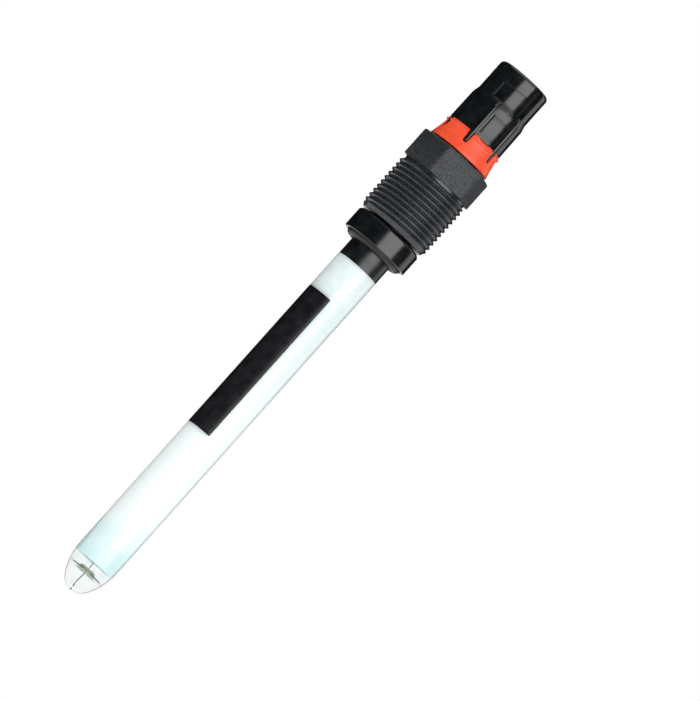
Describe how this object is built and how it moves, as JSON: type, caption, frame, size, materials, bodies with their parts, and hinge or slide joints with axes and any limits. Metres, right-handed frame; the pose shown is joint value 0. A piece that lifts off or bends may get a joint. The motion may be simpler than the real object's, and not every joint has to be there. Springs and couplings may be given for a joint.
{
  "type": "redox sensor",
  "caption": "Glass-shaft redox sensor with a platinum wire tip, thrust collar and seal, screw-in gland, orange coding ring and bayonet plug head.",
  "frame": {"origin": "on the sensor's axis in the seat plane, which is the underside of the thrust collar", "axes": "+Z along the axis towards the plug head, -Y towards the picture's viewer, +X to the right with the head up"},
  "size_m": [0.021, 0.0208, 0.169],
  "materials": {
    "clear_glass": "clear glass, fire polished",
    "junction_ceramic": "porous ceramic",
    "black_print": "screen-printed enamel",
    "seal_glass": "opaque seal",
    "platinum": "drawn wire",
    "silver": "drawn wire",
    "electrolyte_gel": "solid white gel",
    "silicone": "moulded silicone",
    "gloss_black_plastic": "polished moulding",
    "black_gland_plastic": "spark-textured moulding",
    "orange_plastic": "satin moulding",
    "black_elastomer": "moulded seal",
    "potting_resin": "cast resin",
    "former_plastic": "moulded",
    "copper_winding": "enamelled wire",
    "ferrite": "sintered",
    "board_laminate": "solder mask",
    "chip_resin": "moulded",
    "capacitor_ceramic": "sintered"
  },
  "bodies": {
    "sensor": {"tip_dome": "clear_glass", "shaft_tube": "clear_glass", "inner_stem": "clear_glass", "ceramic_junction": "junction_ceramic", "print_panel": "black_print", "seal_foot": "seal_glass", "platinum_wire": "platinum", "platinum_lead": "silver", "reference_wire": "silver", "reference_gel": "electrolyte_gel", "tube_stopper": "silicone", "neck_sleeve": "gloss_black_plastic", "neck_potting": "potting_resin", "o_ring": "black_elastomer", "coding_ring": "orange_plastic", "plug_housing": "gloss_black_plastic", "coil_former": "former_plastic", "induction_coil": "copper_winding", "ferrite_disc": "ferrite", "circuit_board": "board_laminate", "processor_chip": "chip_resin", "amplifier_chip": "chip_resin", "board_capacitors": "capacitor_ceramic"},
    "gland": {"screw_gland": "black_gland_plastic"},
    "collar": {"thrust_collar": "gloss_black_plastic"}
  },
  "joints": [
    {"name": "gland_turn", "type": "hinge", "parent": "sensor", "child": "gland", "pos_m": [0, 0, 0.0187], "axis": [0, 0, 1], "continuous": true},
    {"name": "collar_turn", "type": "hinge", "parent": "sensor", "child": "collar", "pos_m": [0, 0, 0.003], "axis": [0, 0, 1], "continuous": true}
  ]
}
